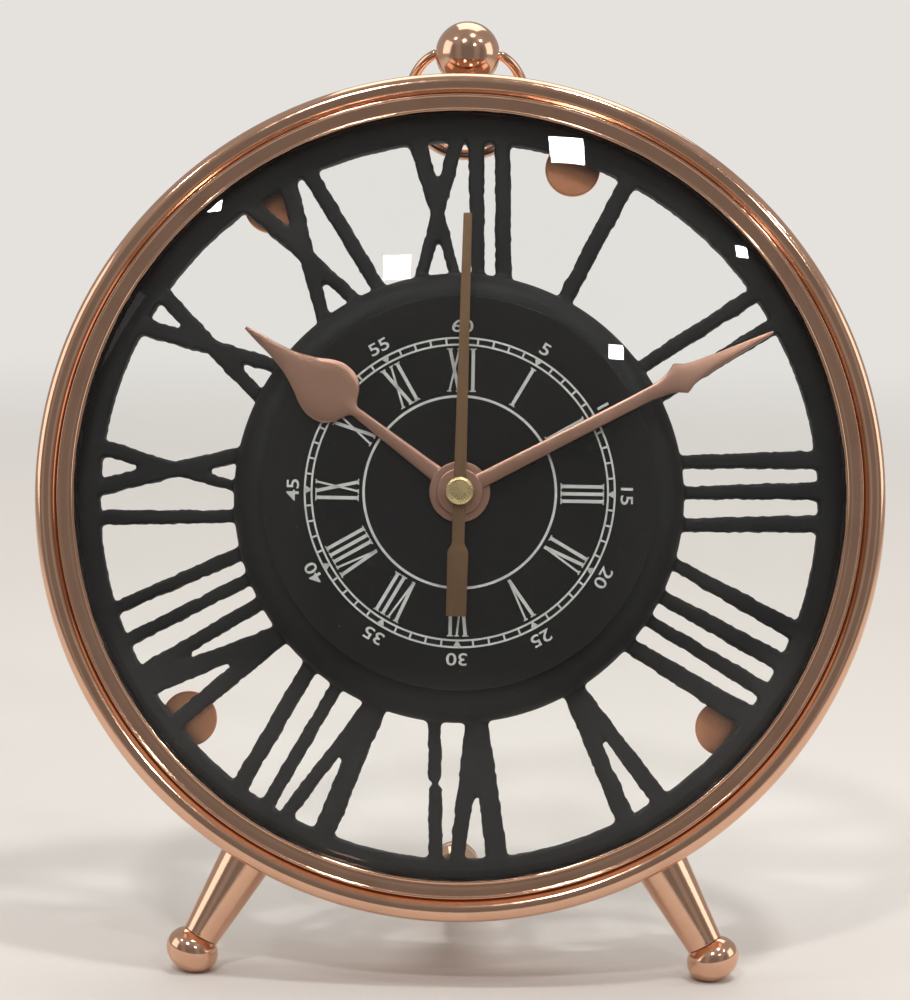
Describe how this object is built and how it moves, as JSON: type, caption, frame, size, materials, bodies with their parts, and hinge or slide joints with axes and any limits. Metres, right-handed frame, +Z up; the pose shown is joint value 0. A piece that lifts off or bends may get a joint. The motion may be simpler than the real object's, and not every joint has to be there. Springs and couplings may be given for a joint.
{
  "type": "table clock",
  "caption": "Round free-standing table clock with a pierced numeral dial under convex glass, a beaded metal bezel, ball feet and a bail ring on a ball knob.",
  "frame": {"origin": "centre of the bounding box in plan, on the surface that the three ball feet stand on", "axes": "+Z up, -Y towards the viewer of the dial, +X to the viewer's right; the clock leans back 11 degrees about X"},
  "size_m": [0.152, 0.0786, 0.1719],
  "materials": {
    "polished_copper": "polished copper plate",
    "satin_copper": "satin copper plate",
    "bare_brass": "polished brass",
    "steel": "zinc plated",
    "black_cast": "rough cast, black painted",
    "black_gloss": "gloss black print with white markings",
    "dome_glass": "clear convex glass",
    "black_plastic": "moulded black",
    "white_plastic": "moulded natural white",
    "rubber": "moulded",
    "green_board": "solder mask",
    "winding": "enamelled copper wire",
    "cell_sleeve": "plain printed sleeve"
  },
  "bodies": {
    "clock_case": {"bezel_ring": "polished_copper", "dome_glass": "dome_glass", "glass_retainer": "black_plastic", "case_ring": "polished_copper", "skeleton_dial": "black_cast", "centre_disc": "black_gloss", "dial_clip_1": "polished_copper", "dial_clip_2": "polished_copper", "dial_clip_3": "polished_copper", "dial_clip_4": "polished_copper", "clip_screw_1": "steel", "clip_screw_2": "steel", "clip_screw_3": "steel", "clip_screw_4": "steel", "left_leg": "polished_copper", "left_foot": "polished_copper", "left_leg_stud": "steel", "left_leg_nut": "steel", "right_leg": "polished_copper", "right_foot": "polished_copper", "right_leg_stud": "steel", "right_leg_nut": "steel", "rear_leg": "polished_copper", "rear_foot": "polished_copper", "rear_leg_stud": "steel", "top_knob": "polished_copper", "knob_neck": "polished_copper", "knob_stud": "steel", "knob_nut": "steel", "movement_case": "black_plastic", "movement_cover": "black_plastic", "train_bridge": "black_plastic", "coil_core": "steel", "coil": "winding", "stator": "steel", "circuit_board": "green_board", "crystal": "steel", "contact_positive": "bare_brass", "contact_negative": "steel", "centre_nut": "bare_brass", "rubber_washer": "rubber"},
    "second_hand_body": {"second_hand": "satin_copper", "centre_cap": "bare_brass", "seconds_wheel": "white_plastic"},
    "minute_hand_body": {"minute_hand": "satin_copper", "centre_wheel": "white_plastic"},
    "hour_hand_body": {"hour_hand": "satin_copper", "hour_wheel": "white_plastic"},
    "third_wheel_body": {"third_wheel": "white_plastic"},
    "fifth_wheel_body": {"fifth_wheel": "white_plastic"},
    "rotor_body": {"rotor": "steel"},
    "motion_wheel_body": {"motion_wheel": "white_plastic"},
    "set_knob_body": {"set_knob": "black_plastic"},
    "bail_body": {"bail_ring": "polished_copper"},
    "cell_body": {"aa_cell": "cell_sleeve"}
  },
  "joints": [
    {"name": "second_hand_turn", "type": "hinge", "parent": "clock_case", "child": "second_hand_body", "pos_m": [0, -0.02143, 0.08796], "axis": [0, 0.9816, -0.1908], "continuous": true},
    {"name": "minute_hand_turn", "type": "hinge", "parent": "clock_case", "child": "minute_hand_body", "pos_m": [0, -0.02143, 0.08796], "axis": [0, 0.9816, -0.1908], "continuous": true},
    {"name": "hour_hand_turn", "type": "hinge", "parent": "clock_case", "child": "hour_hand_body", "pos_m": [0, -0.02143, 0.08796], "axis": [0, 0.9816, -0.1908], "continuous": true},
    {"name": "third_wheel_turn", "type": "hinge", "parent": "clock_case", "child": "third_wheel_body", "pos_m": [-0.00384, -0.01029, 0.09654], "axis": [0, 0.9816, -0.1908], "continuous": true},
    {"name": "fifth_wheel_turn", "type": "hinge", "parent": "clock_case", "child": "fifth_wheel_body", "pos_m": [-0.00941, -0.00588, 0.0841], "axis": [0, 0.9816, -0.1908], "continuous": true},
    {"name": "rotor_turn", "type": "hinge", "parent": "clock_case", "child": "rotor_body", "pos_m": [-0.01643, -0.00511, 0.08808], "axis": [0, 0.9816, -0.1908], "continuous": true},
    {"name": "motion_wheel_turn", "type": "hinge", "parent": "clock_case", "child": "motion_wheel_body", "pos_m": [0.0096, -0.01363, 0.08645], "axis": [0, 0.9816, -0.1908], "continuous": true},
    {"name": "set_knob_turn", "type": "hinge", "parent": "clock_case", "child": "set_knob_body", "pos_m": [0.0192, -0.00685, 0.08513], "axis": [0, 0.9816, -0.1908], "continuous": true},
    {"name": "bail_swing", "type": "hinge", "parent": "clock_case", "child": "bail_body", "pos_m": [0, 0.00875, 0.16594], "axis": [1, 0, 0], "range_deg": [0, 247]},
    {"name": "cell_slide", "type": "slide", "parent": "clock_case", "child": "cell_body", "axis": [0, 0.9816, -0.1908], "range_m": [0, 0.022]}
  ],
  "couplings": [
    {"joint": "minute_hand_turn", "follows": "second_hand_turn", "ratio": 0.016667},
    {"joint": "hour_hand_turn", "follows": "second_hand_turn", "ratio": 0.0013889},
    {"joint": "third_wheel_turn", "follows": "second_hand_turn", "ratio": -0.125},
    {"joint": "fifth_wheel_turn", "follows": "second_hand_turn", "ratio": -6},
    {"joint": "rotor_turn", "follows": "second_hand_turn", "ratio": 30},
    {"joint": "motion_wheel_turn", "follows": "second_hand_turn", "ratio": -0.0055556},
    {"joint": "set_knob_turn", "follows": "second_hand_turn", "ratio": 0.016667}
  ]
}
